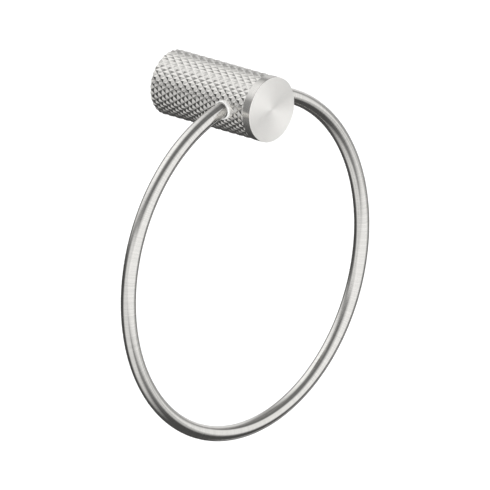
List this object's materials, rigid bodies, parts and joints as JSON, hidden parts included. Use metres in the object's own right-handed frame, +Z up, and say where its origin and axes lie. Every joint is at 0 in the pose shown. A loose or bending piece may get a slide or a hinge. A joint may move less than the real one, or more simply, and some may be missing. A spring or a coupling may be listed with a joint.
{
  "type": "towel ring",
  "caption": "Wall-mounted towel ring: plain round hoop held through a diamond-knurled round post with a smooth front cap.",
  "frame": {"origin": "centre of the wall face at the back of the post", "axes": "+Y into the wall, -Y along the post into the room, +Z up, +X to the right as seen from the room"},
  "size_m": [0.19, 0.07, 0.2013],
  "materials": {
    "knurled_metal": "diamond knurled, satin",
    "turned_metal": "fine turned, satin",
    "brushed_bar": "brushed across the bar",
    "bright_collar": "polished",
    "bracket_metal": "plain machined",
    "set_screw_metal": "dark oxide"
  },
  "bodies": {
    "root": {"knurled_post": "knurled_metal", "front_cap": "turned_metal", "ring": "brushed_bar", "left_collar": "bright_collar", "right_collar": "bright_collar", "ring_lock_screws": "set_screw_metal", "wall_bracket": "bracket_metal", "grub_screw": "set_screw_metal"}
  },
  "joints": []
}
